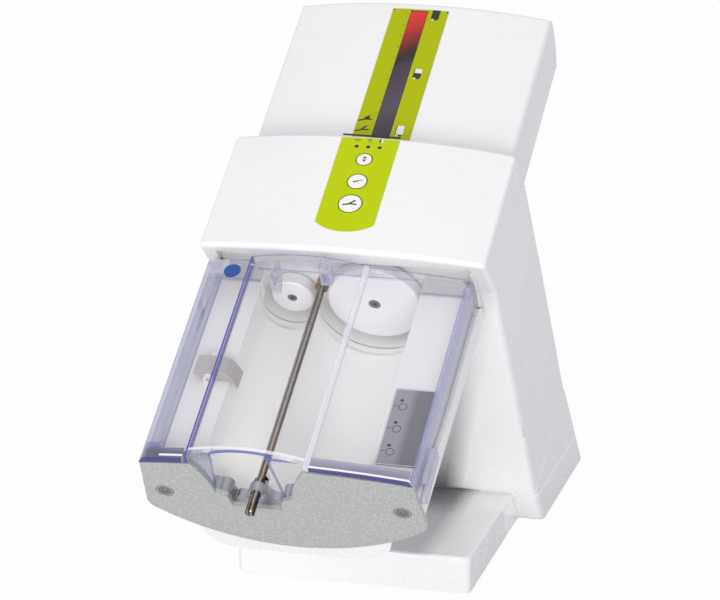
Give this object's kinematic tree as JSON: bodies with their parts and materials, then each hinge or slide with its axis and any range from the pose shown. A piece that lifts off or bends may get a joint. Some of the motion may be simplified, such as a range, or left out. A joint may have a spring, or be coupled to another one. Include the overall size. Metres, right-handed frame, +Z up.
{
  "type": "impression material mixer",
  "caption": "Tabletop mixer for dental impression material: tilted bay with clear hinged lid, two cartridge troughs, plungers, mixing shaft, push buttons and level window.",
  "frame": {"origin": "on the table, under the middle of the machine's outline", "axes": "+Z up, +Y to the rear, along the machine's length, +X to the right as seen from the front"},
  "size_m": [0.1832, 0.4305, 0.3302],
  "materials": {
    "white_housing": "glossy white moulding",
    "band_housing": "glossy white moulding",
    "clear_lid": "clear polycarbonate",
    "milky_grip": "milky plastic",
    "silver_plate": "fine silver sparkle",
    "tray": "pale warm grey",
    "plunger_white": "moulded white",
    "steel": "turned steel",
    "chrome": "polished",
    "bronze": "bearing bronze",
    "zinc": "die cast, satin",
    "alu": "milled",
    "green_label": "printed film",
    "window": "smoked clear",
    "button_white": "satin",
    "lamp": "dark lamps",
    "board": "circuit board",
    "seal_grey": "soft seal",
    "info": "printed plate",
    "lever_grey": "satin grey",
    "marker_blue": "plain blue disc",
    "marker_red": "red",
    "motor": "black case",
    "gear": "cut teeth",
    "pulley": "turned",
    "belt": "flat belt",
    "sheet": "zinc plated sheet",
    "supply": "grey case",
    "foot_rubber": "black",
    "black_plastic": "black"
  },
  "bodies": {
    "base": {"column_housing": "white_housing", "rear_panel": "white_housing", "head_cover": "white_housing", "head_pan": "band_housing", "level_window": "window", "display_label": "green_label", "console_label": "green_label", "status_lamps": "lamp", "control_board": "board", "front_plate": "silver_plate", "plate_screws": "zinc", "tip_cradle": "zinc", "bay_body": "white_housing", "bay_tray": "tray", "lid_hinge_pins": "chrome", "front_seal": "seal_grey", "info_plate": "info", "lever_pin": "chrome", "front_bulkhead": "sheet", "drive_bulkhead": "sheet", "rear_bulkhead": "sheet", "bushes": "bronze", "spacers": "steel", "tie_rods": "steel", "column_frame": "sheet", "feed_motor": "motor", "mixer_motor": "motor", "base_skirt": "white_housing", "front_foot": "white_housing", "base_pan": "sheet", "rubber_feet": "foot_rubber", "base_screws": "steel", "power_supply": "supply", "power_inlet": "black_plastic", "switch_body": "black_plastic", "mixer_belt": "belt"},
    "lid": {"lid": "clear_lid", "lid_grip": "milky_grip", "marker_disc": "marker_blue"},
    "carriage": {"large_plunger": "plunger_white", "small_plunger": "plunger_white", "large_rod": "chrome", "small_rod": "chrome", "plunger_screws": "steel", "yoke": "alu", "spindle_nut": "bronze", "level_marker": "marker_red"},
    "spindle": {"feed_spindle": "steel", "spindle_gear": "gear"},
    "pinion": {"feed_pinion": "steel"},
    "mixer": {"mixer_shaft": "steel", "shaft_collar": "bronze", "shaft_pulley": "pulley"},
    "mixer_drive": {"motor_pulley": "pulley", "motor_shaft": "steel"},
    "mix_button": {"mix_button": "button_white"},
    "feed_button": {"feed_button": "button_white"},
    "retract_button": {"retract_button": "button_white"},
    "lever": {"release_lever": "lever_grey"},
    "rocker": {"power_rocker": "black_plastic"}
  },
  "joints": [
    {"name": "lid_hinge", "type": "hinge", "parent": "base", "child": "lid", "pos_m": [-0.0829, -0.1316, 0.14713], "axis": [0, -0.866, -0.5], "range_deg": [0, 100]},
    {"name": "carriage_feed", "type": "slide", "parent": "base", "child": "carriage", "axis": [0, -0.866, -0.5], "range_m": [0, 0.11]},
    {"name": "spindle_spin", "type": "hinge", "parent": "base", "child": "spindle", "pos_m": [-0.008, 0.06796, 0.25149], "axis": [0, -0.866, -0.5], "range_deg": [0, 3960]},
    {"name": "pinion_spin", "type": "hinge", "parent": "base", "child": "pinion", "pos_m": [0.00678, -0.0107, 0.18573], "axis": [0, -0.866, -0.5], "range_deg": [-11220, 0]},
    {"name": "mixer_spin", "type": "hinge", "parent": "base", "child": "mixer", "pos_m": [-0.0154, -0.12937, 0.15327], "axis": [0, -0.866, -0.5], "continuous": true},
    {"name": "mixer_drive_spin", "type": "hinge", "parent": "base", "child": "mixer_drive", "pos_m": [-0.0154, -0.00231, 0.15319], "axis": [0, -0.866, -0.5], "continuous": true},
    {"name": "mix_button_press", "type": "slide", "parent": "base", "child": "mix_button", "axis": [0, 0.5, -0.866], "range_m": [0, 0.0008], "stiffness_N_per_m": 300, "springref_m": -0.001},
    {"name": "feed_button_press", "type": "slide", "parent": "base", "child": "feed_button", "axis": [0, 0.5, -0.866], "range_m": [0, 0.0008], "stiffness_N_per_m": 300, "springref_m": -0.001},
    {"name": "retract_button_press", "type": "slide", "parent": "base", "child": "retract_button", "axis": [0, 0.5, -0.866], "range_m": [0, 0.0008], "stiffness_N_per_m": 300, "springref_m": -0.001},
    {"name": "lever_rock", "type": "hinge", "parent": "base", "child": "lever", "pos_m": [-0.0605, -0.1346, 0.16734], "axis": [0, -0.866, -0.5], "range_deg": [0, 22]},
    {"name": "rocker_press", "type": "hinge", "parent": "base", "child": "rocker", "pos_m": [0.012, 0.18607, 0.03285], "axis": [1, 0, 0], "range_deg": [0, 18]}
  ],
  "couplings": [
    {"joint": "spindle_spin", "follows": "carriage_feed", "rad_per_m": 628.32},
    {"joint": "pinion_spin", "follows": "carriage_feed", "rad_per_m": -1780.2},
    {"joint": "mixer_drive_spin", "follows": "mixer_spin", "ratio": 1}
  ]
}
